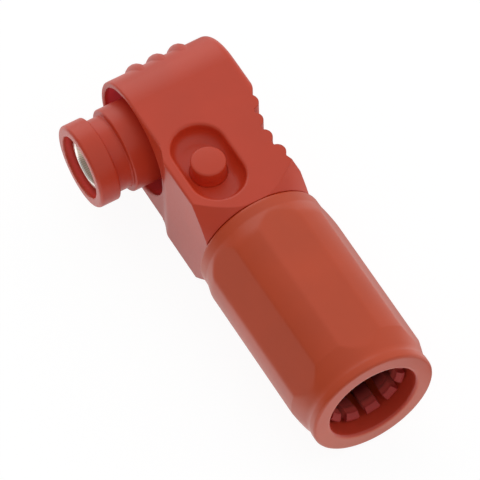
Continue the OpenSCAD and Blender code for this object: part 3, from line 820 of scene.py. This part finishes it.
spring_points = [spring_point(i, k) for i in range(SPRING_STEPS + 1) for k in range(WIRE_SIDES)]
last_ring = SPRING_STEPS * WIRE_SIDES
spring_faces = [tuple(range(WIRE_SIDES)), tuple(reversed(range(last_ring, last_ring + WIRE_SIDES)))]
for at in range(0, last_ring, WIRE_SIDES):
    for k in range(WIRE_SIDES):
        m = (k + 1) % WIRE_SIDES
        spring_faces.append((at + k, at + m, at + WIRE_SIDES + m, at + WIRE_SIDES + k))
spring = made_piece(
    "coil_spring", [(spring_points, spring_faces)], steel_finish, "connector", "button_spring",
)
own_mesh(spring)

# %% [markdown]
# The connector lies on a plain pale table, as in a light tent. The camera sees the table as
# white, apart from a soft shadow, and light that bounces off it is that of pale paper. In
# reflections the table is a bright card instead, because that is what gives the nut and the
# nose their pale rims. The card's brightness by place is painted light and shade: it is
# brighter at the part's open sides, and painted shadow dims it near the head and beside the
# nut. Light Path tells the three kinds of ray apart.

# %% Table's finish
PAPER = (0.9, 0.9, 0.9, 1)
WHITE = (1, 1, 1, 1)
BLACK = (0, 0, 0, 1)
TABLE_WHITE = 1.06
WHITE_SHARE = 0.88
CARD_WHITE = 1.75
CARD_LEVEL = 0.5
NECK_SIDE = (-18, -38)
NECK_MORE = 0.14
CABLE_SIDE = (-80, -88)
CABLE_MORE = 0.20
NOSE_SIDE = (-45, -20, -6, -1)
NOSE_MORE = 0.3
BESIDE_NUT = (38, 42, 50, 62)
NUT_SHADOW_SHARE = 0.55


def card_light_and_shade(f):
    """How bright the table is in reflections, by the place on it, with painted shade where the part shades
    it.
    """
    x, y = f.place()[:2]
    # Painted light and shade in reflections: dimmer near the head and beside the nut, where the part
    # shades the table, and brighter at its open sides.
    at_nose = NOSE_MORE * f.band(x, NOSE_SIDE)
    more = NECK_MORE * f.ramp(y, *NECK_SIDE) + CABLE_MORE * f.ramp(y, *CABLE_SIDE) + at_nose
    return (CARD_LEVEL + more) * (1 - NUT_SHADOW_SHARE * f.band(x, BESIDE_NUT))


f = new_finish("table")
seen = f.make("ShaderNodeLightPath", out="Is Camera Ray")
mirrored = f.make("ShaderNodeLightPath", out="Is Glossy Ray")
paper = f.make("ShaderNodeBsdfDiffuse", None, {"Color": PAPER})
white = f.make("ShaderNodeEmission", None, {"Color": WHITE, "Strength": TABLE_WHITE})
dim_card = f.make("ShaderNodeEmission", None, {"Color": BLACK, "Strength": 0.0})
bright_card = f.make("ShaderNodeEmission", None, {"Color": WHITE, "Strength": CARD_WHITE})
card = f.make("ShaderNodeMixShader", None, {0: card_light_and_shade(f), 1: dim_card, 2: bright_card})
lit = f.make("ShaderNodeMixShader", None, {0: mirrored, 1: paper, 2: card})
shader = f.make("ShaderNodeMixShader", None, {0: seen * WHITE_SHARE, 1: lit, 2: white})
f.make("ShaderNodeOutputMaterial", None, {"Surface": shader})
table_finish = f.owner
print("table's nodes:", len(f.tree.nodes))

# %% [markdown]
# The table is one square at the height of the part's lowest point. It belongs to the stage
# and not to the part.

# %% Table
TABLE_SIZE = 4.0
half = TABLE_SIZE / 2
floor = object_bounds()[0].z
table_mesh = bpy.data.meshes.new("table")
table_mesh.from_pydata(
    [(-half, -half, floor), (half, -half, floor), (half, half, floor), (-half, half, floor)],
    [], [(0, 1, 2, 3)],
)
table = bpy.data.objects.new("table", table_mesh)
bpy.context.scene.collection.objects.link(table)
table.data.materials.append(table_finish)
print("table at z in mm:", round(floor / MM, 2))

# %% [markdown]
# The room is a pale tent that is brighter overhead and toward +X, the photograph's bright
# side. The brightness goes by the direction of the ray: a dot product with the bright side's
# direction. That gives the bright top and the darker band on the nut's left. The camera and
# light through clear things see plain white.

# %% Room
SKY_DARK = 0.13
SKY_BRIGHT = 0.80
SKY_LEAN = (0.808, 0, 0.589)

world = bpy.data.worlds.new("room")
bpy.context.scene.world = world
room = Finish(world)
way = room.make("ShaderNodeTexCoord", out="Generated")
lean = room.make("ShaderNodeVectorMath", {"operation": "DOT_PRODUCT"}, {0: way, 1: SKY_LEAN}, "Value")
dark = room.make("ShaderNodeBackground", None, {"Color": WHITE, "Strength": SKY_DARK})
bright = room.make("ShaderNodeBackground", None, {"Color": WHITE, "Strength": SKY_BRIGHT})
sky = room.make("ShaderNodeMixShader", None, {0: lean * 0.5 + 0.5, 1: dark, 2: bright})
plain = room.make("ShaderNodeBackground", None, {"Color": WHITE, "Strength": 1.0})
seen = room.make("ShaderNodeLightPath", out="Is Camera Ray")
through = room.make("ShaderNodeLightPath", out="Is Transmission Ray")
all_sky = room.make("ShaderNodeMixShader", None, {0: seen.math("MAXIMUM", through), 1: sky, 2: plain})
room.make("ShaderNodeOutputWorld", None, {"Surface": all_sky})
print("room's light from", SKY_DARK, "to", SKY_BRIGHT)

# %% [markdown]
# One large square lamp stands behind the part, like a window. Its size keeps the shadow
# soft. The colours are shown as they are written, with the Standard view.

# %% Rear lamp
LAMP_STAND = (0.1, 0.85, 0.45)
LAMP_AIM = (CABLE_X, -0.035, 0)
LAMP_SIZE = 0.8
LAMP_POWER = 1.77
light = bpy.data.lights.new("rear_lamp", "AREA")
light.shape = "SQUARE"
light.size = LAMP_SIZE
light.energy = LAMP_POWER
lamp = bpy.data.objects.new("rear_lamp", light)
bpy.context.scene.collection.objects.link(lamp)
lamp.location = LAMP_STAND
lamp.rotation_euler = (Vector(LAMP_AIM) - Vector(LAMP_STAND)).to_track_quat("-Z", "Y").to_euler()
bpy.context.scene.view_settings.view_transform = "Standard"
print("lamp:", LAMP_SIZE, "m across,", LAMP_POWER, "W")

# %% [markdown]

# %% [markdown]
